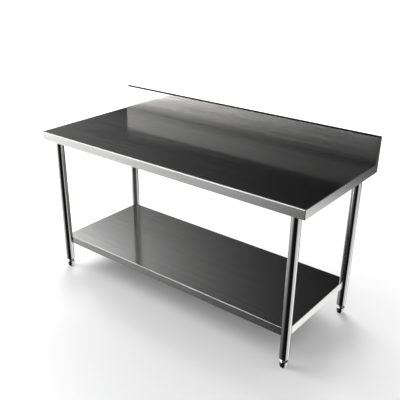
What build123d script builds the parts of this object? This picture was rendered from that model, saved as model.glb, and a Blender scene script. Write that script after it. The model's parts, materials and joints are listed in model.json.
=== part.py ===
"""Stainless work table: folded worktop with a rear upstand, four round legs,
an undershelf that slides on the legs and four levelling bullet feet.

Millimetres, +Z up.  X runs along the length, the front edge faces -Y and the
upstand stands along +Y.  The origin is on the floor, under the middle of the
table's outline.
"""
from build123d import *
import os

os.makedirs("parts", exist_ok=True)

# ---------------------------------------------------------------- overall size
TABLE_LENGTH = 1800.0
TABLE_DEPTH = 760.0
WORKTOP_HEIGHT = 930.0

# ---------------------------------------------------------------- worktop sheet
TOP_SHEET = 1.5
TOP_BEND_RADIUS = 3.0
APRON_DEPTH = 50.0
APRON_RETURN = 13.5
UPSTAND_HEIGHT = 146.0
UPSTAND_DEPTH = 36.0
UPSTAND_COVE_RADIUS = 6.0
UPSTAND_LIP = 16.0
UPSTAND_SIDE_RETURN = 14.0

# ---------------------------------------------------------------- stiffening under the top
CHANNEL_SHEET = 1.5
CHANNEL_DEPTH = 20.0
CHANNEL_BEND_RADIUS = 2.5
CHANNEL_FLANGE = 20.0
CROSS_CHANNEL_WIDTH = 84.0
LONG_CHANNEL_WIDTH = 50.0
LONG_CHANNEL_SPACING = 280.0
DAMPING_THICKNESS = 1.5
DAMPING_WIDTH = 16.0
CHANNEL_END_GAP = 3.0
REAR_RAIL_HEIGHT = 42.0
REAR_RAIL_FLANGE = 20.0
REAR_RAIL_GAP = 0.3

# ---------------------------------------------------------------- studs and cap nuts
STUD_RADIUS = 3.0
STUD_LENGTH = 10.0
STUD_HOLE_RADIUS = 3.4
NUT_ACROSS_FLATS = 10.0
NUT_HEX_HEIGHT = 5.0
NUT_DOME_HEIGHT = 4.0
CROSS_CHANNEL_STUDS = 3
LONG_CHANNEL_STUDS = 4
STUD_END_MARGIN = 60.0

# ---------------------------------------------------------------- legs and sockets
LEG_RADIUS = 25.4
LEG_WALL = 1.2
LEG_INSET_SIDE = 75.0
LEG_INSET_FRONT = 64.0
LEG_INSET_REAR = 58.0
LEG_BOTTOM_HEIGHT = 56.5
SOCKET_PLATE = 70.0
SOCKET_PLATE_THICKNESS = 3.0
SOCKET_PLATE_CORNER = 8.0
SOCKET_COLLAR_HEIGHT = 20.0
SOCKET_COLLAR_WALL = 5.2
SOCKET_COLLAR_CLEARANCE = 0.3
SOCKET_SPIGOT_LENGTH = 60.0
SOCKET_SPIGOT_WALL = 3.0
SOCKET_SPIGOT_CLEARANCE = 0.3
LEG_TOP_GAP = 0.5
SOCKET_BOSS_RADIUS = 7.0
SOCKET_BOSS_LENGTH = 9.0
SET_SCREW_RADIUS = 4.0
SET_SCREW_CLEARANCE = 0.05
SET_SCREW_KEY_WIDTH = 4.0
SET_SCREW_KEY_DEPTH = 4.0
SET_SCREW_TIP_GAP = 0.05
SET_SCREW_PROUD = 4.0

# ---------------------------------------------------------------- levelling feet
FOOT_INSERT_RIM = 1.5
FOOT_INSERT_RIM_SETBACK = 0.4
FOOT_INSERT_CLEARANCE = 0.05
FOOT_INSERT_BORE_DEPTH = 41.5
FOOT_INSERT_THREAD_LENGTH = 15.0
FOOT_SHANK_RADIUS = 20.0
FOOT_SHANK_CLEARANCE = 0.5
FOOT_SHANK_TOP_HEIGHT = 83.5
FOOT_COLLAR_HEIGHT = 53.5
FOOT_WAIST_RADIUS = 17.2
FOOT_WAIST_HEIGHT = 49.5
FOOT_SHOULDER_RADIUS = 20.4
FOOT_SHOULDER_HEIGHT = 42.0
FOOT_BULGE_RADIUS = 21.0
FOOT_BULGE_HEIGHT = 22.0
FOOT_BASE_RADIUS = 17.5
FOOT_BASE_HEIGHT = 1.5
STEM_RADIUS = 6.0
STEM_FIT = 0.05
STEM_TOP_HEIGHT = 137.5
STEM_SEAT_DEPTH = 12.0
GLIDE_RADIUS = 12.0
GLIDE_THICKNESS = 3.0
GLIDE_PIN_RADIUS = 4.0
GLIDE_PIN_LENGTH = 9.0
GLIDE_CLEARANCE = 0.3

# ---------------------------------------------------------------- undershelf
SHELF_HEIGHT = 228.0
SHELF_SHEET = 1.2
SHELF_BEND_RADIUS = 2.5
SHELF_FLANGE = 48.0
SHELF_RETURN = 11.0
SHELF_PAST_LEG_SIDE = 6.0
SHELF_PAST_LEG_FRONT = -1.0
SHELF_PAST_LEG_REAR = 5.0
SHELF_NOTCH_CLEARANCE = 1.0
SHELF_CHANNEL_WIDTH = 50.0
SHELF_CHANNEL_DEPTH = 18.0
SHELF_CHANNEL_SPACING = 220.0
SHELF_CHANNEL_SHEET = 1.2
SADDLE_REACH = 60.0
SADDLE_HEIGHT = 36.0
SADDLE_CORNER = 30.0
SADDLE_CLEARANCE = 0.4
SADDLE_WALL_GAP = 0.2

# ---------------------------------------------------------------- places worked out from the sizes
HALF_LENGTH = TABLE_LENGTH / 2
FRONT = -TABLE_DEPTH / 2
REAR = TABLE_DEPTH / 2
APRON_BOTTOM = WORKTOP_HEIGHT - APRON_DEPTH
UPSTAND_TOP = WORKTOP_HEIGHT + UPSTAND_HEIGHT
UPSTAND_FRONT = REAR - UPSTAND_DEPTH
DECK_UNDERSIDE = WORKTOP_HEIGHT - TOP_SHEET
CHANNEL_TOP = DECK_UNDERSIDE - DAMPING_THICKNESS
CHANNEL_BOTTOM = CHANNEL_TOP - CHANNEL_DEPTH
REAR_RAIL_FRONT = REAR - TOP_SHEET - REAR_RAIL_FLANGE

LEG_X = HALF_LENGTH - LEG_INSET_SIDE
LEG_FRONT_Y = FRONT + LEG_INSET_FRONT
LEG_REAR_Y = REAR - LEG_INSET_REAR
LEG_CENTRES = {
    "front_left": (-LEG_X, LEG_FRONT_Y),
    "front_right": (LEG_X, LEG_FRONT_Y),
    "rear_left": (-LEG_X, LEG_REAR_Y),
    "rear_right": (LEG_X, LEG_REAR_Y),
}
LEG_BORE_RADIUS = LEG_RADIUS - LEG_WALL
SOCKET_PLATE_BOTTOM = CHANNEL_BOTTOM - SOCKET_PLATE_THICKNESS
SOCKET_COLLAR_BORE = LEG_RADIUS + SOCKET_COLLAR_CLEARANCE
SOCKET_COLLAR_RADIUS = SOCKET_COLLAR_BORE + SOCKET_COLLAR_WALL
SOCKET_SPIGOT_RADIUS = LEG_BORE_RADIUS - SOCKET_SPIGOT_CLEARANCE
SOCKET_SCREW_HEIGHT = SOCKET_PLATE_BOTTOM - SOCKET_COLLAR_HEIGHT / 2
LEG_TOP_HEIGHT = SOCKET_PLATE_BOTTOM - LEG_TOP_GAP

SHELF_HALF_LENGTH = LEG_X + SHELF_PAST_LEG_SIDE
SHELF_FRONT = LEG_FRONT_Y - SHELF_PAST_LEG_FRONT
SHELF_REAR = LEG_REAR_Y + SHELF_PAST_LEG_REAR
SHELF_BOTTOM = SHELF_HEIGHT - SHELF_FLANGE
SHELF_UNDERSIDE = SHELF_HEIGHT - SHELF_SHEET
SHELF_CHANNEL_TOP = SHELF_UNDERSIDE - DAMPING_THICKNESS


def inward(corner):
    """Unit steps along X and Y from a leg towards the middle of the table."""
    x, y = LEG_CENTRES[corner]
    return (-1 if x > 0 else 1), (-1 if y > 0 else 1)


def leg_section_plane(corner):
    """Upright plane through a leg's axis, for profiles that are revolved about it."""
    x, y = LEG_CENTRES[corner]
    return Plane(origin=(x, y, 0), x_dir=(1, 0, 0), z_dir=(0, -1, 0))


def leg_axis(corner):
    """Vertical axis of a leg."""
    x, y = LEG_CENTRES[corner]
    return Axis((x, y, 0), (0, 0, 1))


def diagonal_plane(corner, distance, height):
    """Plane across the diagonal that runs inward from a leg, at a distance from its axis."""
    x, y = LEG_CENTRES[corner]
    step_x, step_y = inward(corner)
    direction = Vector(step_x, step_y, 0).normalized()
    return Plane(origin=Vector(x, y, height) + direction * distance, z_dir=direction)


# ================================================================ worktop
def worktop_form(half_length, front, rear, bottom, top, upstand_front, upstand_top, bend, cove):
    """Solid block with the worktop's outline; its folded edges are rounded."""
    with BuildPart() as form:
        with BuildSketch(Plane.YZ.offset(-half_length)) as outline:
            with BuildLine():
                Polyline(
                    (front, bottom),
                    (front, top),
                    (upstand_front, top),
                    (upstand_front, upstand_top),
                    (rear, upstand_top),
                    (rear, bottom),
                    close=True,
                )
            make_face()
            at_top = outline.vertices().filter_by_position(Axis.Y, top - 0.01, top + 0.01)
            at_upstand_top = outline.vertices().filter_by_position(
                Axis.Y, upstand_top - 0.01, upstand_top + 0.01
            )
            fillet(at_top.sort_by(Axis.X)[0], bend)
            fillet(at_top.sort_by(Axis.X)[-1], cove)
            fillet(at_upstand_top, bend)
        extrude(amount=2 * half_length)
        end_edges = form.faces().filter_by(Axis.X).edges()
        folded = end_edges.filter_by_position(Axis.Z, bottom + 1, upstand_top + 1).filter_by_position(
            Axis.Y, front - 1, rear - 0.01
        )
        fillet(folded, bend)
    return form.part


worktop_outside = worktop_form(
    HALF_LENGTH,
    FRONT,
    REAR,
    APRON_BOTTOM,
    WORKTOP_HEIGHT,
    UPSTAND_FRONT,
    UPSTAND_TOP,
    TOP_BEND_RADIUS,
    UPSTAND_COVE_RADIUS,
)
worktop_inside = worktop_form(
    HALF_LENGTH - TOP_SHEET,
    FRONT + TOP_SHEET,
    REAR - TOP_SHEET,
    APRON_BOTTOM + TOP_SHEET,
    DECK_UNDERSIDE,
    UPSTAND_FRONT + TOP_SHEET,
    UPSTAND_TOP - TOP_SHEET,
    TOP_BEND_RADIUS - TOP_SHEET,
    UPSTAND_COVE_RADIUS + TOP_SHEET,
)

with BuildPart() as worktop:
    add(worktop_outside)
    add(worktop_inside, mode=Mode.SUBTRACT)
    # open underside, inside the apron's return flange
    with BuildSketch(Plane.XY.offset(APRON_BOTTOM)):
        with Locations((0, (FRONT + APRON_RETURN + REAR) / 2)):
            Rectangle(TABLE_LENGTH - 2 * APRON_RETURN, REAR - FRONT - APRON_RETURN)
    extrude(amount=TOP_SHEET, mode=Mode.SUBTRACT)
    # open back, inside the upstand's lip and its side returns
    back_height = UPSTAND_TOP - UPSTAND_LIP - APRON_BOTTOM
    with BuildSketch(Plane.XZ.offset(-REAR)):
        with Locations((0, APRON_BOTTOM + back_height / 2)):
            Rectangle(TABLE_LENGTH - 2 * UPSTAND_SIDE_RETURN, back_height)
    extrude(amount=TOP_SHEET, mode=Mode.SUBTRACT)
worktop.part.label = "worktop"
export_step(worktop.part, "parts/worktop.step")


# ================================================================ channels under the top
def hat_channel(section, length, width, depth, sheet, flange):
    """Folded hat section, crown down, extruded from a section plane at its flange tops."""
    high = -sheet / 2
    low = -depth + sheet / 2
    web = width / 2 - sheet / 2
    with BuildPart() as channel:
        with BuildSketch(section):
            with BuildLine():
                FilletPolyline(
                    (-web - flange, high),
                    (-web, high),
                    (-web, low),
                    (web, low),
                    (web, high),
                    (web + flange, high),
                    radius=CHANNEL_BEND_RADIUS,
                )
            trace(line_width=sheet)
        extrude(amount=length)
    return channel.part


def spaced(count, start, end):
    """Evenly spaced positions with the same margin at both ends."""
    low = start + STUD_END_MARGIN
    high = end - STUD_END_MARGIN
    return [low + (high - low) * index / (count - 1) for index in range(count)]


CROSS_FRONT = FRONT + TOP_SHEET + CHANNEL_END_GAP
CROSS_REAR = REAR_RAIL_FRONT - CHANNEL_END_GAP / 2
CROSS_STUD_LINE = CROSS_CHANNEL_WIDTH / 2 + CHANNEL_FLANGE / 2
DECK_END = UPSTAND_FRONT - UPSTAND_COVE_RADIUS
LONG_HALF_LENGTH = LEG_X - CROSS_CHANNEL_WIDTH / 2 - CHANNEL_FLANGE - CHANNEL_END_GAP
LONG_STUD_LINE = LONG_CHANNEL_WIDTH / 2 + CHANNEL_FLANGE / 2
DECK_MIDDLE = (FRONT + UPSTAND_FRONT) / 2

cross_channel_x = {"left": -LEG_X, "right": LEG_X}
long_channel_y = {
    "front": DECK_MIDDLE - LONG_CHANNEL_SPACING / 2,
    "rear": DECK_MIDDLE + LONG_CHANNEL_SPACING / 2,
}
cross_stud_y = spaced(CROSS_CHANNEL_STUDS, CROSS_FRONT, DECK_END)
long_stud_x = spaced(LONG_CHANNEL_STUDS, -LONG_HALF_LENGTH, LONG_HALF_LENGTH)


def cross_studs(side):
    """Stud places on both flanges of a cross channel."""
    x = cross_channel_x[side]
    return [(x + offset, y) for offset in (-CROSS_STUD_LINE, CROSS_STUD_LINE) for y in cross_stud_y]


def long_studs(side):
    """Stud places on both flanges of a long channel."""
    y = long_channel_y[side]
    return [(x, y + offset) for offset in (-LONG_STUD_LINE, LONG_STUD_LINE) for x in long_stud_x]


for side, x in cross_channel_x.items():
    section = Plane.XZ.offset(-CROSS_REAR).shift_origin((x, CROSS_REAR, CHANNEL_TOP))
    channel_length = CROSS_REAR - CROSS_FRONT
    with BuildPart() as cross_channel:
        add(
            hat_channel(
                section, channel_length, CROSS_CHANNEL_WIDTH, CHANNEL_DEPTH, CHANNEL_SHEET, CHANNEL_FLANGE
            )
        )
        with BuildSketch(Plane.XY.offset(CHANNEL_TOP)):
            with Locations(*cross_studs(side)):
                Circle(STUD_HOLE_RADIUS)
        extrude(amount=-CHANNEL_SHEET, mode=Mode.SUBTRACT)
    cross_channel.part.label = f"cross_channel_{side}"
    export_step(cross_channel.part, f"parts/cross_channel_{side}.step")

    with BuildPart() as damping_tape:
        with BuildSketch(Plane.XY.offset(CHANNEL_TOP)):
            with Locations(
                (x - CROSS_STUD_LINE, (CROSS_FRONT + DECK_END) / 2),
                (x + CROSS_STUD_LINE, (CROSS_FRONT + DECK_END) / 2),
            ):
                Rectangle(DAMPING_WIDTH, DECK_END - CROSS_FRONT)
            with Locations(*cross_studs(side)):
                Circle(STUD_HOLE_RADIUS, mode=Mode.SUBTRACT)
        extrude(amount=DAMPING_THICKNESS)
    damping_tape.part.label = f"damping_tape_{side}"
    export_step(damping_tape.part, f"parts/damping_tape_{side}.step")

for side, y in long_channel_y.items():
    section = Plane.YZ.offset(-LONG_HALF_LENGTH).shift_origin((-LONG_HALF_LENGTH, y, CHANNEL_TOP))
    with BuildPart() as long_channel:
        add(
            hat_channel(
                section,
                2 * LONG_HALF_LENGTH,
                LONG_CHANNEL_WIDTH,
                CHANNEL_DEPTH,
                CHANNEL_SHEET,
                CHANNEL_FLANGE,
            )
        )
        with BuildSketch(Plane.XY.offset(CHANNEL_TOP)):
            with Locations(*long_studs(side)):
                Circle(STUD_HOLE_RADIUS)
        extrude(amount=-CHANNEL_SHEET, mode=Mode.SUBTRACT)
    long_channel.part.label = f"long_channel_{side}"
    export_step(long_channel.part, f"parts/long_channel_{side}.step")

    with BuildPart() as damping_tape:
        with BuildSketch(Plane.XY.offset(CHANNEL_TOP)):
            with Locations((0, y - LONG_STUD_LINE), (0, y + LONG_STUD_LINE)):
                Rectangle(2 * LONG_HALF_LENGTH, DAMPING_WIDTH)
            with Locations(*long_studs(side)):
                Circle(STUD_HOLE_RADIUS, mode=Mode.SUBTRACT)
        extrude(amount=DAMPING_THICKNESS)
    damping_tape.part.label = f"damping_tape_{side}"
    export_step(damping_tape.part, f"parts/damping_tape_{side}.step")

# channel-section rail that closes the back, under the upstand
rail_length = TABLE_LENGTH - 2 * TOP_SHEET - 2 * REAR_RAIL_GAP
rail_bottom = APRON_BOTTOM + TOP_SHEET + REAR_RAIL_GAP
rail_top = rail_bottom + REAR_RAIL_HEIGHT
rail_back = REAR - TOP_SHEET
with BuildPart() as rear_rail:
    with BuildSketch(Plane.YZ.offset(-rail_length / 2)):
        with BuildLine():
            FilletPolyline(
                (REAR_RAIL_FRONT, rail_bottom + CHANNEL_SHEET / 2),
                (rail_back - CHANNEL_SHEET / 2, rail_bottom + CHANNEL_SHEET / 2),
                (rail_back - CHANNEL_SHEET / 2, rail_top - CHANNEL_SHEET / 2),
                (REAR_RAIL_FRONT, rail_top - CHANNEL_SHEET / 2),
                radius=CHANNEL_BEND_RADIUS,
            )
        trace(line_width=CHANNEL_SHEET)
    extrude(amount=rail_length)
rear_rail.part.label = "rear_rail"
export_step(rear_rail.part, "parts/rear_rail.step")

# studs welded to the deck's underside, with cap nuts under the channel flanges
all_studs = cross_studs("left") + cross_studs("right") + long_studs("front") + long_studs("rear")
with BuildPart() as weld_studs:
    with BuildSketch(Plane.XY.offset(DECK_UNDERSIDE)):
        with Locations(*all_studs):
            Circle(STUD_RADIUS)
    extrude(amount=-STUD_LENGTH)
    chamfer(weld_studs.edges().group_by(Axis.Z)[0], 0.6)
weld_studs.part.label = "weld_studs"
export_step(weld_studs.part, "parts/weld_studs.step")

nut_seat = CHANNEL_TOP - CHANNEL_SHEET
nut_height = NUT_HEX_HEIGHT + NUT_DOME_HEIGHT
with BuildPart() as cap_nuts:
    with BuildSketch(Plane.XY.offset(nut_seat)):
        with Locations(*all_studs):
            RegularPolygon(NUT_ACROSS_FLATS / 2, 6, major_radius=False)
    extrude(amount=-NUT_HEX_HEIGHT)
    with BuildSketch(Plane.XY.offset(nut_seat - NUT_HEX_HEIGHT)):
        with Locations(*all_studs):
            Circle(NUT_ACROSS_FLATS / 2 - 0.4)
    extrude(amount=-NUT_DOME_HEIGHT)
    fillet(cap_nuts.edges().group_by(Axis.Z)[0], NUT_DOME_HEIGHT - 0.5)
    with BuildSketch(Plane.XY.offset(nut_seat)):
        with Locations(*all_studs):
            Circle(STUD_RADIUS + SET_SCREW_CLEARANCE)
    extrude(amount=-(nut_height - 1.2), mode=Mode.SUBTRACT)
cap_nuts.part.label = "cap_nuts"
export_step(cap_nuts.part, "parts/cap_nuts.step")

# ================================================================ leg sockets
for corner, (x, y) in LEG_CENTRES.items():
    with BuildPart() as leg_socket:
        with BuildSketch(Plane.XY.offset(SOCKET_PLATE_BOTTOM)):
            with Locations((x, y)):
                RectangleRounded(SOCKET_PLATE, SOCKET_PLATE, SOCKET_PLATE_CORNER)
        extrude(amount=SOCKET_PLATE_THICKNESS)
        with BuildSketch(Plane.XY.offset(SOCKET_PLATE_BOTTOM)):
            with Locations((x, y)):
                Circle(SOCKET_COLLAR_RADIUS)
        extrude(amount=-SOCKET_COLLAR_HEIGHT)
        with BuildSketch(diagonal_plane(corner, SOCKET_COLLAR_BORE, SOCKET_SCREW_HEIGHT)):
            Circle(SOCKET_BOSS_RADIUS)
        extrude(amount=SOCKET_COLLAR_WALL + SOCKET_BOSS_LENGTH)
        with BuildSketch(Plane.XY.offset(SOCKET_PLATE_BOTTOM)):
            with Locations((x, y)):
                Circle(SOCKET_COLLAR_BORE)
        extrude(amount=-SOCKET_COLLAR_HEIGHT, mode=Mode.SUBTRACT)
        with BuildSketch(Plane.XY.offset(SOCKET_PLATE_BOTTOM)):
            with Locations((x, y)):
                Circle(SOCKET_SPIGOT_RADIUS)
                Circle(SOCKET_SPIGOT_RADIUS - SOCKET_SPIGOT_WALL, mode=Mode.SUBTRACT)
        extrude(amount=-SOCKET_SPIGOT_LENGTH)
        with BuildSketch(diagonal_plane(corner, SOCKET_SPIGOT_RADIUS, SOCKET_SCREW_HEIGHT)):
            Circle(SET_SCREW_RADIUS + SET_SCREW_CLEARANCE)
        extrude(amount=SOCKET_COLLAR_WALL + SOCKET_BOSS_LENGTH + LEG_WALL + 1, mode=Mode.SUBTRACT)
    leg_socket.part.label = f"leg_socket_{corner}"
    export_step(leg_socket.part, f"parts/leg_socket_{corner}.step")


def set_screw(base, length):
    """Headless screw along a plane's normal, with a hexagon socket in its outer end."""
    with BuildPart() as screw:
        with BuildSketch(base):
            Circle(SET_SCREW_RADIUS)
        extrude(amount=length)
        chamfer(screw.edges().filter_by(GeomType.CIRCLE), 0.6)
        with BuildSketch(base.offset(length)):
            RegularPolygon(SET_SCREW_KEY_WIDTH / 2, 6, major_radius=False)
        extrude(amount=-SET_SCREW_KEY_DEPTH, mode=Mode.SUBTRACT)
    return screw.part


leg_screw_length = SOCKET_COLLAR_CLEARANCE + SOCKET_COLLAR_WALL + SOCKET_BOSS_LENGTH + SET_SCREW_PROUD
with BuildPart() as leg_set_screws:
    for corner in LEG_CENTRES:
        tip = diagonal_plane(corner, LEG_RADIUS + SET_SCREW_TIP_GAP, SOCKET_SCREW_HEIGHT)
        add(set_screw(tip, leg_screw_length))
leg_set_screws.part.label = "leg_set_screws"
export_step(leg_set_screws.part, "parts/leg_set_screws.step")

# ================================================================ legs and levelling feet
insert_body_radius = LEG_BORE_RADIUS - FOOT_INSERT_CLEARANCE
insert_bottom = LEG_BOTTOM_HEIGHT - FOOT_INSERT_RIM
insert_bore_top = insert_bottom + FOOT_INSERT_BORE_DEPTH
insert_top = insert_bore_top + FOOT_INSERT_THREAD_LENGTH
recess_top = GLIDE_THICKNESS + GLIDE_CLEARANCE
pin_hole_top = recess_top + GLIDE_PIN_LENGTH + GLIDE_CLEARANCE
stem_seat = FOOT_SHANK_TOP_HEIGHT - STEM_SEAT_DEPTH

for corner, (x, y) in LEG_CENTRES.items():
    with BuildPart() as leg_tube:
        with BuildSketch(Plane.XY.offset(LEG_BOTTOM_HEIGHT)):
            with Locations((x, y)):
                Circle(LEG_RADIUS)
                Circle(LEG_BORE_RADIUS, mode=Mode.SUBTRACT)
        extrude(amount=LEG_TOP_HEIGHT - LEG_BOTTOM_HEIGHT)
    leg_tube.part.label = f"leg_tube_{corner}"
    export_step(leg_tube.part, f"parts/leg_tube_{corner}.step")

    with BuildPart() as foot_insert:
        with BuildSketch(leg_section_plane(corner)):
            with BuildLine():
                Polyline(
                    (FOOT_SHANK_RADIUS + FOOT_SHANK_CLEARANCE, insert_bottom),
                    (LEG_RADIUS - FOOT_INSERT_RIM_SETBACK, insert_bottom),
                    (LEG_RADIUS - FOOT_INSERT_RIM_SETBACK, LEG_BOTTOM_HEIGHT),
                    (insert_body_radius, LEG_BOTTOM_HEIGHT),
                    (insert_body_radius, insert_top),
                    (STEM_RADIUS + STEM_FIT, insert_top),
                    (STEM_RADIUS + STEM_FIT, insert_bore_top),
                    (FOOT_SHANK_RADIUS + FOOT_SHANK_CLEARANCE, insert_bore_top),
                    close=True,
                )
            make_face()
        revolve(axis=leg_axis(corner))
    foot_insert.part.label = f"foot_insert_{corner}"
    export_step(foot_insert.part, f"parts/foot_insert_{corner}.step")

    with BuildPart() as foot_bullet:
        with BuildSketch(leg_section_plane(corner)):
            with BuildLine():
                Polyline(
                    (0, pin_hole_top),
                    (GLIDE_PIN_RADIUS + GLIDE_CLEARANCE, pin_hole_top),
                    (GLIDE_PIN_RADIUS + GLIDE_CLEARANCE, recess_top),
                    (GLIDE_RADIUS + GLIDE_CLEARANCE, recess_top),
                    (GLIDE_RADIUS + GLIDE_CLEARANCE, FOOT_BASE_HEIGHT),
                    (FOOT_BASE_RADIUS, FOOT_BASE_HEIGHT),
                )
                TangentArc(
                    (FOOT_BULGE_RADIUS, FOOT_BULGE_HEIGHT),
                    (FOOT_BASE_RADIUS, FOOT_BASE_HEIGHT),
                    tangent=(0, -1),
                )
                Spline(
                    (FOOT_BULGE_RADIUS, FOOT_BULGE_HEIGHT),
                    (FOOT_SHOULDER_RADIUS, FOOT_SHOULDER_HEIGHT),
                    (FOOT_WAIST_RADIUS, FOOT_WAIST_HEIGHT),
                    (FOOT_SHANK_RADIUS, FOOT_COLLAR_HEIGHT),
                    tangents=((0, 1), (0, 1)),
                )
                Polyline(
                    (FOOT_SHANK_RADIUS, FOOT_COLLAR_HEIGHT),
                    (FOOT_SHANK_RADIUS, FOOT_SHANK_TOP_HEIGHT),
                    (STEM_RADIUS, FOOT_SHANK_TOP_HEIGHT),
                    (STEM_RADIUS, stem_seat),
                    (0, stem_seat),
                    (0, pin_hole_top),
                )
            make_face()
        revolve(axis=leg_axis(corner))
    foot_bullet.part.label = f"foot_bullet_{corner}"
    export_step(foot_bullet.part, f"parts/foot_bullet_{corner}.step")

    with BuildPart() as foot_stem:
        with BuildSketch(Plane.XY.offset(stem_seat)):
            with Locations((x, y)):
                Circle(STEM_RADIUS - STEM_FIT / 2)
        extrude(amount=STEM_TOP_HEIGHT - stem_seat)
        chamfer(foot_stem.edges().group_by(Axis.Z)[-1], 1.0)
    foot_stem.part.label = f"foot_stem_{corner}"
    export_step(foot_stem.part, f"parts/foot_stem_{corner}.step")

    with BuildPart() as foot_glide:
        with BuildSketch(Plane.XY):
            with Locations((x, y)):
                Circle(GLIDE_RADIUS)
        extrude(amount=GLIDE_THICKNESS)
        chamfer(foot_glide.edges().group_by(Axis.Z)[0], 0.6)
        with BuildSketch(Plane.XY.offset(GLIDE_THICKNESS)):
            with Locations((x, y)):
                Circle(GLIDE_PIN_RADIUS)
        extrude(amount=GLIDE_PIN_LENGTH)
    foot_glide.part.label = f"foot_glide_{corner}"
    export_step(foot_glide.part, f"parts/foot_glide_{corner}.step")


# ================================================================ undershelf
def shelf_form(half_length, front, rear, bottom, top, bend):
    """Solid block with the shelf's outline; its top edges are rounded folds."""
    with BuildPart() as form:
        with BuildSketch(Plane.XY.offset(bottom)):
            with Locations((0, (front + rear) / 2)):
                Rectangle(2 * half_length, rear - front)
        extrude(amount=top - bottom)
        fillet(form.edges().group_by(Axis.Z)[-1], bend)
    return form.part


shelf_outside = shelf_form(
    SHELF_HALF_LENGTH, SHELF_FRONT, SHELF_REAR, SHELF_BOTTOM, SHELF_HEIGHT, SHELF_BEND_RADIUS
)
shelf_inside = shelf_form(
    SHELF_HALF_LENGTH - SHELF_SHEET,
    SHELF_FRONT + SHELF_SHEET,
    SHELF_REAR - SHELF_SHEET,
    SHELF_BOTTOM + SHELF_SHEET,
    SHELF_UNDERSIDE,
    SHELF_BEND_RADIUS - SHELF_SHEET,
)

with BuildPart() as undershelf:
    add(shelf_outside)
    add(shelf_inside, mode=Mode.SUBTRACT)
    # open underside, inside the flange's return
    with BuildSketch(Plane.XY.offset(SHELF_BOTTOM)):
        with Locations((0, (SHELF_FRONT + SHELF_REAR) / 2)):
            Rectangle(
                2 * SHELF_HALF_LENGTH - 2 * SHELF_RETURN, SHELF_REAR - SHELF_FRONT - 2 * SHELF_RETURN
            )
    extrude(amount=SHELF_SHEET, mode=Mode.SUBTRACT)
    # round notches that clear the legs
    with BuildSketch(Plane.XY.offset(SHELF_BOTTOM)):
        with Locations(*LEG_CENTRES.values()):
            Circle(LEG_RADIUS + SHELF_NOTCH_CLEARANCE)
    extrude(amount=SHELF_FLANGE, mode=Mode.SUBTRACT)
undershelf.part.label = "undershelf"
export_step(undershelf.part, "parts/undershelf.step")

shelf_middle = (SHELF_FRONT + SHELF_REAR) / 2
shelf_channel_y = {
    "front": shelf_middle - SHELF_CHANNEL_SPACING / 2,
    "rear": shelf_middle + SHELF_CHANNEL_SPACING / 2,
}
shelf_channel_half = SHELF_HALF_LENGTH - SHELF_RETURN - CHANNEL_END_GAP
shelf_tape_line = SHELF_CHANNEL_WIDTH / 2 + CHANNEL_FLANGE / 2

for side, y in shelf_channel_y.items():
    section = Plane.YZ.offset(-shelf_channel_half).shift_origin((-shelf_channel_half, y, SHELF_CHANNEL_TOP))
    with BuildPart() as shelf_channel:
        add(
            hat_channel(
                section,
                2 * shelf_channel_half,
                SHELF_CHANNEL_WIDTH,
                SHELF_CHANNEL_DEPTH,
                SHELF_CHANNEL_SHEET,
                CHANNEL_FLANGE,
            )
        )
    shelf_channel.part.label = f"shelf_channel_{side}"
    export_step(shelf_channel.part, f"parts/shelf_channel_{side}.step")

    with BuildPart() as shelf_tape:
        with BuildSketch(Plane.XY.offset(SHELF_CHANNEL_TOP)):
            with Locations((0, y - shelf_tape_line), (0, y + shelf_tape_line)):
                Rectangle(2 * shelf_channel_half, DAMPING_WIDTH)
        extrude(amount=DAMPING_THICKNESS)
    shelf_tape.part.label = f"shelf_tape_{side}"
    export_step(shelf_tape.part, f"parts/shelf_tape_{side}.step")

# saddles under the shelf's corners, each with a screw that bears on the leg
# and stand clear of the round inside of the folds
saddle_setback = SHELF_BEND_RADIUS + SADDLE_WALL_GAP
saddle_wall_x = SHELF_HALF_LENGTH - saddle_setback
saddle_wall_y = {
    1: SHELF_FRONT + saddle_setback,
    -1: SHELF_REAR - saddle_setback,
}
saddle_bottom = SHELF_UNDERSIDE - SADDLE_HEIGHT
saddle_screw_height = SHELF_UNDERSIDE - SADDLE_HEIGHT / 2
saddle_face = (2 * SADDLE_REACH - SADDLE_CORNER) / 2**0.5

for corner, (x, y) in LEG_CENTRES.items():
    step_x, step_y = inward(corner)
    wall_x = -step_x * saddle_wall_x
    wall_y = saddle_wall_y[step_y]
    far_x = x + step_x * SADDLE_REACH
    far_y = y + step_y * SADDLE_REACH
    with BuildPart() as shelf_saddle:
        with BuildSketch(Plane.XY.offset(saddle_bottom)):
            with BuildLine():
                Polyline(
                    (wall_x, wall_y),
                    (wall_x, far_y),
                    (far_x + step_x * -SADDLE_CORNER, far_y),
                    (far_x, far_y - step_y * SADDLE_CORNER),
                    (far_x, wall_y),
                    close=True,
                )
            make_face()
            with Locations((x, y)):
                Circle(LEG_RADIUS + SADDLE_CLEARANCE, mode=Mode.SUBTRACT)
        extrude(amount=SADDLE_HEIGHT)
        with BuildSketch(diagonal_plane(corner, LEG_RADIUS, saddle_screw_height)):
            Circle(SET_SCREW_RADIUS + SET_SCREW_CLEARANCE)
        extrude(amount=saddle_face, mode=Mode.SUBTRACT)
    shelf_saddle.part.label = f"shelf_saddle_{corner}"
    export_step(shelf_saddle.part, f"parts/shelf_saddle_{corner}.step")

saddle_screw_length = saddle_face + SET_SCREW_PROUD - LEG_RADIUS - SADDLE_CLEARANCE
with BuildPart() as shelf_set_screws:
    for corner in LEG_CENTRES:
        tip = diagonal_plane(corner, LEG_RADIUS + SADDLE_CLEARANCE, saddle_screw_height)
        add(set_screw(tip, saddle_screw_length))
shelf_set_screws.part.label = "shelf_set_screws"
export_step(shelf_set_screws.part, "parts/shelf_set_screws.step")
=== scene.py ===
"""Looks for the stainless work table: brushed sheet, polished legs, studio floor and light."""
import json
import math

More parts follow.
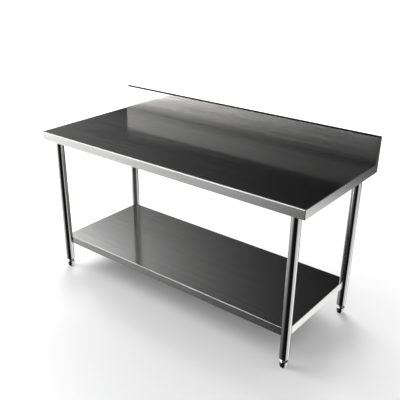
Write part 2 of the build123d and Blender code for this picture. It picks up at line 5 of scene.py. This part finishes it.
import bmesh
import bpy
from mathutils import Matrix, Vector

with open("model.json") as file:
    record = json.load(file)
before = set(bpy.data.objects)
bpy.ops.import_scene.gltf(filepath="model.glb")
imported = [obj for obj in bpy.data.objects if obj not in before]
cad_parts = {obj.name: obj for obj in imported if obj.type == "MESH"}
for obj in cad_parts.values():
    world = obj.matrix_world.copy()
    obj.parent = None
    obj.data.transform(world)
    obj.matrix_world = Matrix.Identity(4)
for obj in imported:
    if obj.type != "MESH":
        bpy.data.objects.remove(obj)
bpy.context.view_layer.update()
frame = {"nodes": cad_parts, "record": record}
nodes = frame["nodes"]
scene = bpy.context.scene

# ---------------------------------------------------------------- camera
CAMERA_AZIMUTH = math.radians(39.5)
CAMERA_ELEVATION = math.radians(26.08)
CAMERA_TARGET = Vector((-0.318, 0.283, 0.231))
CAMERA_DISTANCE = 4.055
CLIP_END = 200.0
LENS_MM = 53.86
SENSOR_MM = 36.0
SHIFT_X = 0.0345
SHIFT_Y = 0.0618

back = Vector(
    (
        math.sin(CAMERA_AZIMUTH) * math.cos(CAMERA_ELEVATION),
        -math.cos(CAMERA_AZIMUTH) * math.cos(CAMERA_ELEVATION),
        math.sin(CAMERA_ELEVATION),
    )
)
camera_data = bpy.data.cameras.new("camera")
camera_data.lens = LENS_MM
camera_data.sensor_width = SENSOR_MM
camera_data.shift_x = SHIFT_X
camera_data.shift_y = SHIFT_Y
camera_data.clip_end = CLIP_END
camera = bpy.data.objects.new("camera", camera_data)
camera.location = CAMERA_TARGET + back * CAMERA_DISTANCE
camera.rotation_euler = (-back).to_track_quat("-Z", "Y").to_euler()
scene.collection.objects.link(camera)
scene.camera = camera
scene.view_settings.view_transform = "Standard"
scene.view_settings.look = "None"

# ---------------------------------------------------------------- node helpers
# The part of a noise's output that a texture uses; what lies outside is clamped.
MIDDLE_BAND = (0.3, 0.7)
WIDE_BAND = (0.25, 0.75)
HIGH_BAND = (0.35, 0.7)


class Graph:
    """Small helper around a node tree: every call adds a node and returns its output."""

    def __init__(self, tree):
        self.tree = tree

    def node(self, kind, inputs=None, **settings):
        made = self.tree.nodes.new(kind)
        for name, value in settings.items():
            setattr(made, name, value)
        for name, value in (inputs or {}).items():
            self.put(made.inputs[name], value)
        return made

    def put(self, socket, value):
        if isinstance(value, bpy.types.NodeSocket):
            self.tree.links.new(value, socket)
        else:
            socket.default_value = value

    def math(self, operation, *values):
        inputs = dict(enumerate(values))
        return self.node("ShaderNodeMath", inputs, operation=operation).outputs[0]

    def total(self, first, *others):
        for value in others:
            first = self.math("ADD", first, value)
        return first

    def times(self, value, factor):
        return self.math("MULTIPLY", value, factor)

    def vector(self, operation, *values):
        inputs = dict(enumerate(values))
        return self.node("ShaderNodeVectorMath", inputs, operation=operation).outputs[0]

    def place(self):
        """Position in the object's own metres."""
        return self.node("ShaderNodeTexCoord").outputs["Object"]

    def mapped(self, vector, scale):
        return self.node("ShaderNodeMapping", {"Vector": vector, "Scale": scale}).outputs[0]

    def noise(self, place, scale, detail, roughness, distortion=0.0):
        made = self.node(
            "ShaderNodeTexNoise",
            {
                "Vector": self.mapped(place, scale),
                "Scale": 1.0,
                "Detail": detail,
                "Roughness": roughness,
                "Distortion": distortion,
            },
        )
        return made.outputs["Fac"]

    def texture(self, place, name):
        return self.noise(place, *TEXTURES[name])

    def span(self, value, low, high, out_low, out_high):
        made = self.node(
            "ShaderNodeMapRange",
            {
                "Value": value,
                "From Min": low,
                "From Max": high,
                "To Min": out_low,
                "To Max": out_high,
            },
            clamp=True,
        )
        return made.outputs[0]

    def sway(self, value, limits, band=MIDDLE_BAND):
        """Spread the used band of a noise over the limits."""
        return self.span(value, *band, *limits)

    def choose(self, factor, first, second):
        """First value where the factor is 0, second where it is 1."""
        return self.node("ShaderNodeMix", {0: factor, 2: first, 3: second}).outputs[0]

    def tinted(self, shade, tint):
        """Grey of the shade's brightness, with its red, green and blue scaled by the tint."""
        channels = [shade if part == 1.0 else self.times(shade, part) for part in tint]
        return self.node("ShaderNodeCombineColor", dict(enumerate(channels))).outputs[0]

    def bump(self, height, distance, strength):
        inputs = {"Height": height, "Distance": distance, "Strength": strength}
        return self.node("ShaderNodeBump", inputs).outputs[0]


# ---------------------------------------------------------------- studio
# Soft patches of light round the table, as directions: centre azimuth and elevation, half
# widths in degrees, brightness, and how square the falloff is in azimuth and in elevation.
SOFT_PATCHES = {
    "left_wall": (191.9, -6.5, 47.9, 14.8, 3.3, 3.46, 1.48),
    "front_left": (226.0, -3.0, 8.5, 4.5, 9.0, 2.0, 2.0),
    "front_left_low": (226.0, -9.0, 8.5, 4.5, 0.9, 2.0, 2.0),
    "front_left_top": (226.0, 11.5, 8.5, 2.4, 2.4, 2.0, 2.0),
    "front_mid": (238.0, -3.0, 8.5, 4.5, 9.0, 2.0, 2.0),
    "front_mid_low": (238.0, -9.0, 8.5, 4.5, 9.0, 2.0, 2.0),
    "front_mid_top": (238.0, 11.5, 8.5, 2.4, 1.4, 2.0, 2.0),
    "front_right": (250.0, -9.0, 8.5, 4.5, 8.5, 2.0, 2.0),
    "front_right_top": (250.0, 14.5, 8.5, 2.2, 0.32, 2.0, 2.0),
    "front_right_high": (250.0, 27.0, 8.5, 5.0, 0.06, 2.0, 2.0),
    "back_left": (150.0, 47.5, 6.33, 23.5, 6.6, 1.0, 6.1),
    "right_wall": (9.0, -45.0, 31.0, 29.0, 0.9, 10.0, 10.0),
    "right_floor": (54.0, -48.0, 19.0, 25.5, 1.6, 8.0, 11.0),
    "right_glow": (75.0, -8.0, 25.0, 14.0, 0.14, 4.0, 4.0),
    "rear_right": (45.0, 28.0, 50.0, 24.0, 0.3, 8.0, 6.0),
    "front_window": (312.0, 28.0, 46.0, 24.0, 0.12, 8.0, 6.0),
    "left_window": (192.0, 52.0, 22.0, 20.0, 0.8, 6.0, 6.0),
    "ceiling": (0.0, 90.0, 400.0, 28.0, 0.8, 2.0, 6.0),
}
STUDIO_BASE = 0.009
BACKDROP_WHITE = 1.3
SKY_FILL = 1.0
HALF_TURN = 180.0

SOFT_BOXES = {
    "key": {"place": (-3.2, 3.4, 4.2), "target": (0.0, 0.0, 0.0), "size": 3.5, "watts": 260.0},
    "fill": {"place": (-3.6, -1.8, 3.2), "target": (0.0, -0.6, 0.0), "size": 3.0, "watts": 95.0},
}


def patch_light(g, azimuth, elevation, patch):
    """Brightness that one soft patch gives in a direction."""
    centre, height, width, tall, level, square, square_tall = patch
    turned = g.math("WRAP", g.math("SUBTRACT", azimuth, centre), HALF_TURN, -HALF_TURN)
    aside = g.math("POWER", g.math("DIVIDE", g.math("ABSOLUTE", turned), width), square)
    above = g.math("ABSOLUTE", g.math("SUBTRACT", elevation, height))
    above = g.math("POWER", g.math("DIVIDE", above, tall), square_tall)
    falloff = g.math("EXPONENT", g.times(g.math("ADD", aside, above), -1.0))
    return g.times(falloff, level)


world = bpy.data.worlds.new("studio")
scene.world = world
world.use_nodes = True
world.node_tree.nodes.clear()
world.cycles.sampling_method = "NONE"
sky = Graph(world.node_tree)
direction = sky.node("ShaderNodeTexCoord").outputs["Generated"]
split = sky.node("ShaderNodeSeparateXYZ", {"Vector": direction}).outputs
azimuth = sky.times(sky.math("ARCTAN2", split["Y"], split["X"]), HALF_TURN / math.pi)
elevation = sky.times(sky.math("ARCSINE", split["Z"]), HALF_TURN / math.pi)
patches = [patch_light(sky, azimuth, elevation, patch) for patch in SOFT_PATCHES.values()]
# the steel reflects the patches, the dull surfaces get an even fill, and the backdrop is white
path = sky.node("ShaderNodeLightPath").outputs
glow = sky.choose(path["Is Diffuse Ray"], sky.total(STUDIO_BASE, *patches), SKY_FILL)
glow = sky.choose(path["Is Camera Ray"], glow, BACKDROP_WHITE)
background = sky.node("ShaderNodeBackground", {"Strength": glow})
sky.node("ShaderNodeOutputWorld", {"Surface": background.outputs[0]})


def soft_light(name, place, target, size, watts):
    """Large square softbox that lights the floor and isn't seen in the steel."""
    data = bpy.data.lights.new(name, "AREA")
    data.size = size
    data.energy = watts
    lamp = bpy.data.objects.new(name, data)
    lamp.location = place
    lamp.rotation_euler = (Vector(target) - Vector(place)).to_track_quat("-Z", "Y").to_euler()
    lamp.visible_glossy = False
    lamp.visible_camera = False
    scene.collection.objects.link(lamp)


for box_name, soft_box in SOFT_BOXES.items():
    soft_light(box_name, **soft_box)

# ---------------------------------------------------------------- textures
# Noise textures: features per metre along X, Y and Z, detail, roughness and, if any, distortion.
TEXTURES = {
    "floor_mottle": ((3.0, 3.0, 3.0), 3.0, 0.5),
    "sheet_grain": ((5.0, 900.0, 900.0), 4.0, 0.6),
    "sheet_grain_end": ((900.0, 5.0, 900.0), 4.0, 0.6),
    "sheet_streak": ((1.2, 60.0, 60.0), 3.0, 0.55),
    "sheet_streak_end": ((60.0, 1.2, 60.0), 3.0, 0.55),
    "sheet_haze": ((2.2, 2.6, 2.2), 3.0, 0.6),
    "sheet_scratch": ((16.0, 1500.0, 700.0), 1.0, 0.5),
    "tube_rings": ((25.0, 25.0, 1400.0), 3.0, 0.6),
    "tube_bands": ((3.0, 3.0, 40.0), 3.0, 0.5),
    "tube_smear": ((14.0, 14.0, 3.0), 4.0, 0.6),
    "turned_rings": ((8.0, 8.0, 2200.0), 3.0, 0.6),
    "turned_smear": ((60.0, 60.0, 25.0), 4.0, 0.6),
    "zinc_warp": ((60.0, 60.0, 60.0), 2.0, 0.5),
    "zinc_fine": ((900.0, 900.0, 900.0), 3.0, 0.5),
    "cast_grit": ((1100.0, 1100.0, 1100.0), 4.0, 0.65),
    "cast_flow": ((70.0, 70.0, 50.0), 3.0, 0.5, 0.6),
    "plastic_dust": ((35.0, 35.0, 35.0), 4.0, 0.5),
}
PLASTIC_GRIT = (3.0, 0.6)
ZINC_SPANGLE = (110.0, 110.0, 110.0)

# How far each texture moves the tone and the roughness of its surface.
TONE = {
    "floor_mottle": (0.875, 0.885),
    "sheet_grain": (-0.035, 0.035),
    "sheet_streak": (-0.02, 0.02),
    "sheet_haze": (-0.012, 0.012),
    "tube_rings": (-0.02, 0.02),
    "tube_smear": (-0.02, 0.015),
    "turned_rings": (-0.03, 0.03),
    "turned_smear": (-0.03, 0.03),
    "zinc_spangle": (0.40, 0.60),
    "zinc_warp": (-0.04, 0.04),
    "zinc_fine": (-0.02, 0.02),
    "cast_grit": (0.46, 0.56),
    "cast_flow": (-0.05, 0.05),
}
ROUGHNESS = {
    "sheet_grain": (-0.02, 0.03),
    "sheet_streak": (-0.015, 0.02),
    "sheet_haze": (-0.004, 0.006),
    "tube_rings": (0.0, 0.03),
    "tube_smear": (0.0, 0.03),
    "turned_rings": (-0.02, 0.04),
    "turned_smear": (0.0, 0.06),
    "zinc_spangle": (0.38, 0.55),
    "cast": (0.42, 0.6),
}
PLASTIC_TONE_SHARE = (0.85, 1.15)
PLASTIC_DUST_BAND = (0.5, 0.8)
PLASTIC_DUST_SHARE = 0.5
PLASTIC_ROUGHNESS_SWAY = 0.06
CAST_ROUGHNESS_BAND = (0.7, 1.3)
WHOLE_BAND = (0.0, 1.0)

# Bump: height of the relief in metres, and strength.
BUMP = {
    "tube": (0.00002, 0.3),
    "turned": (0.00004, 0.4),
    "zinc": (0.00003, 0.3),
    "cast": (0.00012, 0.6),
    "plastic": (0.00006, 0.5),
}
TINT = {
    "floor": (1.0, 1.0, 1.0),
    "sheet": (1.0, 0.992, 0.985),
    "tube": (1.0, 0.995, 0.99),
    "turned": (1.0, 1.0, 0.985),
    "zinc": (0.97, 1.0, 1.01),
    "cast": (1.0, 1.0, 1.01),
    "plastic": (1.0, 1.0, 1.03),
}


def material(name):
    """New material with an empty principled shader, and the graph to fill it with."""
    made = bpy.data.materials.new(name)
    made.use_nodes = True
    made.node_tree.nodes.clear()
    g = Graph(made.node_tree)
    shader = g.node("ShaderNodeBsdfPrincipled")
    g.node("ShaderNodeOutputMaterial", {"Surface": shader.outputs[0]})
    return made, g, shader


def dress(g, shader, colour, metallic, roughness, normal):
    """Connect a surface's colour, roughness and relief to its shader."""
    g.put(shader.inputs["Base Color"], colour)
    g.put(shader.inputs["Roughness"], roughness)
    g.put(shader.inputs["Normal"], normal)
    shader.inputs["Metallic"].default_value = metallic


# ---------------------------------------------------------------- floor
FLOOR_RADIUS = 40.0
FLOOR_SEGMENTS = 96
FLOOR_ROUGHNESS = 0.9
FLOOR_GLOW_REACH = (1.7, 4.5)
FLOOR_GLOW = (0.0, 0.5)
WHITE = (1.0, 1.0, 1.0, 1.0)


def floor_material():
    """Pale floor, seen from above only."""
    made, g, shader = material("studio_floor")
    place = g.place()
    grey = g.sway(g.texture(place, "floor_mottle"), TONE["floor_mottle"])
    g.put(shader.inputs["Base Color"], g.tinted(grey, TINT["floor"]))
    # the floor glows a little away from the table, so it meets the white backdrop unseen
    reach = g.node("ShaderNodeVectorMath", {0: place}, operation="LENGTH").outputs["Value"]
    g.put(shader.inputs["Emission Color"], WHITE)
    g.put(shader.inputs["Emission Strength"], g.sway(reach, FLOOR_GLOW, FLOOR_GLOW_REACH))
    shader.inputs["Roughness"].default_value = FLOOR_ROUGHNESS
    shader.inputs["Specular IOR Level"].default_value = 0.0
    # seen from below the floor isn't there, so the underside can be looked at
    below = g.node("ShaderNodeNewGeometry").outputs["Backfacing"]
    clear = g.node("ShaderNodeBsdfTransparent").outputs[0]
    sides = g.node("ShaderNodeMixShader", {0: below, 1: shader.outputs[0], 2: clear}).outputs[0]
    g.put(g.tree.nodes["Material Output"].inputs["Surface"], sides)
    return made


floor_mesh = bpy.data.meshes.new("floor")
shape = bmesh.new()
bmesh.ops.create_circle(shape, cap_ends=True, segments=FLOOR_SEGMENTS, radius=FLOOR_RADIUS)
shape.to_mesh(floor_mesh)
shape.free()
floor = bpy.data.objects.new("floor", floor_mesh)
scene.collection.objects.link(floor)
floor.data.materials.append(floor_material())
floor.visible_glossy = False

# ---------------------------------------------------------------- brushed sheet
SHEET_ANISOTROPY = 0.4
SHEET_BUMP_STRENGTH = 0.35
GRAIN_HEIGHT = 0.6
STREAK_HEIGHT = 0.4
SCRATCH_DEPTH = 0.5
SCRATCH_BAND = (0.62, 0.8)
SCRATCH_FALLOFF = 2.0
SCRATCH_ROUGHNESS = 0.08
UPSTAND_FACE = 0.344  # Y of the upstand's front, in metres
# How squarely a face looks along an axis, from 0 to 1, before it counts as an end face, as
# level, or as an upright fold between two sides.
END_FACING = 0.7
LEVEL_FACING = 0.3
FOLD_FACING = 0.25
# These paint shade into the sheet's tone, whatever the light: the share of the tone that the
# upright folds keep, the share that the deck loses at the upstand's foot, and over how many
# metres.
FOLD_PAINTED_SHADE_TONE = 0.2
FOOT_PAINTED_SHADE = 0.67
FOOT_PAINTED_SHADE_WIDTH = 0.22


def steel_sheet(name, tone, roughness, relief, shaded_foot_line=None):
    """Brushed stainless sheet; the grain runs along its length, and across on the end faces."""
    made, g, shader = material(name)
    place = g.place()
    normal = g.node("ShaderNodeNewGeometry").outputs["True Normal"]
    facing = g.node("ShaderNodeSeparateXYZ", {"Vector": g.vector("ABSOLUTE", normal)}).outputs
    # end faces look along X, so their grain runs along Y; everything else is brushed along X
    end_face = g.math("GREATER_THAN", facing["X"], END_FACING)
    lengthwise = g.math("SUBTRACT", 1.0, end_face)
    along = g.node("ShaderNodeCombineXYZ", {0: lengthwise, 1: end_face}).outputs[0]
    across = g.vector("CROSS_PRODUCT", normal, along)
    grain, streak = (
        g.choose(end_face, g.texture(place, kind), g.texture(place, kind + "_end"))
        for kind in ("sheet_grain", "sheet_streak")
    )
    haze = g.texture(place, "sheet_haze")
    scratch = g.sway(g.texture(place, "sheet_scratch"), WHOLE_BAND, SCRATCH_BAND)
    scratch = g.math("POWER", scratch, SCRATCH_FALLOFF)

    shade = g.total(
        g.sway(grain, TONE["sheet_grain"], WIDE_BAND),
        g.sway(streak, TONE["sheet_streak"]),
        g.sway(haze, TONE["sheet_haze"]),
        tone,
    )
    # painted shade: the upright folds between two sides keep only a fifth of the sheet's tone
    upright = g.math("MINIMUM", facing["X"], facing["Y"])
    fold = g.math("GREATER_THAN", upright, FOLD_FACING)
    shade = g.times(shade, g.sway(fold, (1.0, FOLD_PAINTED_SHADE_TONE), WHOLE_BAND))
    # painted shade: the level deck loses up to two thirds of its tone over the last stretch
    # before the upstand's foot, standing in for the corner's shade
    if shaded_foot_line is not None:
        at = g.node("ShaderNodeSeparateXYZ", {"Vector": place}).outputs
        level = g.math("GREATER_THAN", facing["Z"], LEVEL_FACING)
        foot_shade_ramp = g.sway(at["Y"], WHOLE_BAND, (shaded_foot_line - FOOT_PAINTED_SHADE_WIDTH, shaded_foot_line))
        painted_foot_shade = g.times(g.times(foot_shade_ramp, level), FOOT_PAINTED_SHADE)
        shade = g.times(shade, g.math("SUBTRACT", 1.0, painted_foot_shade))

    rough = g.total(
        g.sway(grain, ROUGHNESS["sheet_grain"], WIDE_BAND),
        g.sway(streak, ROUGHNESS["sheet_streak"]),
        g.sway(haze, ROUGHNESS["sheet_haze"]),
        g.times(scratch, SCRATCH_ROUGHNESS),
        roughness,
    )
    height = g.total(g.times(grain, GRAIN_HEIGHT), g.times(streak, STREAK_HEIGHT))
    height = g.math("SUBTRACT", height, g.times(scratch, SCRATCH_DEPTH))
    normal_map = g.bump(height, relief, SHEET_BUMP_STRENGTH)
    dress(g, shader, g.tinted(shade, TINT["sheet"]), 1.0, rough, normal_map)
    g.put(shader.inputs["Tangent"], across)
    shader.inputs["Anisotropic"].default_value = SHEET_ANISOTROPY
    return made


# ---------------------------------------------------------------- the other finishes
TUBE_BAND_HEIGHT = 0.3
ZINC_METALLIC = 0.9
CAST_METALLIC = 0.95


def polished_tube(name, tone, roughness):
    """Mirror-polished tube: faint polishing rings round it and light hazing."""
    made, g, shader = material(name)
    place = g.place()
    rings = g.texture(place, "tube_rings")
    bands = g.texture(place, "tube_bands")
    smear = g.texture(place, "tube_smear")
    shade = g.total(g.sway(rings, TONE["tube_rings"]), g.sway(smear, TONE["tube_smear"]), tone)
    rough = g.total(
        g.sway(rings, ROUGHNESS["tube_rings"]),
        g.sway(smear, ROUGHNESS["tube_smear"], HIGH_BAND),
        roughness,
    )
    height = g.total(rings, g.times(bands, TUBE_BAND_HEIGHT))
    normal_map = g.bump(height, *BUMP["tube"])
    dress(g, shader, g.tinted(shade, TINT["tube"]), 1.0, rough, normal_map)
    return made


def turned_steel(name, tone, roughness):
    """Lathe-turned steel with fine tool rings, polished over."""
    made, g, shader = material(name)
    place = g.place()
    rings = g.texture(place, "turned_rings")
    smear = g.texture(place, "turned_smear")
    shade = g.total(
        g.sway(rings, TONE["turned_rings"]), g.sway(smear, TONE["turned_smear"]), tone
    )
    rough = g.total(
        g.sway(rings, ROUGHNESS["turned_rings"]),
        g.sway(smear, ROUGHNESS["turned_smear"], HIGH_BAND),
        roughness,
    )
    normal_map = g.bump(rings, *BUMP["turned"])
    dress(g, shader, g.tinted(shade, TINT["turned"]), 1.0, rough, normal_map)
    return made


def galvanised(name):
    """Galvanised sheet: spangle cells, dull grey, with rolling marks."""
    made, g, shader = material(name)
    place = g.place()
    cells = g.node("ShaderNodeTexVoronoi", {"Vector": g.mapped(place, ZINC_SPANGLE)})
    cell_colour = cells.outputs["Color"]
    spangle = g.node("ShaderNodeSeparateColor", {"Color": cell_colour}).outputs[0]
    fine = g.texture(place, "zinc_fine")
    shade = g.total(
        g.sway(spangle, TONE["zinc_spangle"], WHOLE_BAND),
        g.sway(g.texture(place, "zinc_warp"), TONE["zinc_warp"]),
        g.sway(fine, TONE["zinc_fine"]),
    )
    rough = g.sway(spangle, ROUGHNESS["zinc_spangle"], WHOLE_BAND)
    normal_map = g.bump(g.total(spangle, fine), *BUMP["zinc"])
    dress(g, shader, g.tinted(shade, TINT["zinc"]), ZINC_METALLIC, rough, normal_map)
    return made


def cast_alloy(name):
    """Die-cast aluminium with a fine orange-peel skin."""
    made, g, shader = material(name)
    place = g.place()
    grit = g.texture(place, "cast_grit")
    flow = g.texture(place, "cast_flow")
    shade = g.total(g.sway(grit, TONE["cast_grit"]), g.sway(flow, TONE["cast_flow"]))
    rough = g.sway(g.total(grit, flow), ROUGHNESS["cast"], CAST_ROUGHNESS_BAND)
    normal_map = g.bump(grit, *BUMP["cast"])
    dress(g, shader, g.tinted(shade, TINT["cast"]), CAST_METALLIC, rough, normal_map)
    return made


def plastic(name, tone, roughness, grain):
    """Moulded plastic or rubber with a fine tooled texture."""
    made, g, shader = material(name)
    place = g.place()
    grit = g.noise(place, (grain, grain, grain), *PLASTIC_GRIT)
    dust = g.texture(place, "plastic_dust")
    shade = g.total(
        g.sway(grit, [tone * share for share in PLASTIC_TONE_SHARE]),
        g.sway(dust, (0.0, tone * PLASTIC_DUST_SHARE), PLASTIC_DUST_BAND),
    )
    limits = (roughness - PLASTIC_ROUGHNESS_SWAY, roughness + PLASTIC_ROUGHNESS_SWAY)
    normal_map = g.bump(grit, *BUMP["plastic"])
    dress(g, shader, g.tinted(shade, TINT["plastic"]), 0.0, g.sway(grit, limits), normal_map)
    return made


finishes = {
    "worktop_sheet": steel_sheet("worktop_sheet", 0.64, 0.10, 0.000003, UPSTAND_FACE),
    "shelf_sheet": steel_sheet("shelf_sheet", 0.64, 0.12, 0.000004),
    "leg_tube": polished_tube("leg_tube", 0.75, 0.05),
    "foot_steel": turned_steel("foot_steel", 0.72, 0.12),
    "fastener_steel": turned_steel("fastener_steel", 0.62, 0.24),
    "channel_steel": galvanised("channel_steel"),
    "cast_alloy": cast_alloy("cast_alloy"),
    "butyl_tape": plastic("butyl_tape", 0.03, 0.75, 500.0),
    "black_nylon": plastic("black_nylon", 0.02, 0.45, 1200.0),
    "glide_nylon": plastic("glide_nylon", 0.09, 0.5, 1200.0),
}
for part in frame["record"]["subparts"]:
    slots = nodes[part["node"]].data.materials
    slots.clear()
    slots.append(finishes[part["material_slot"]])
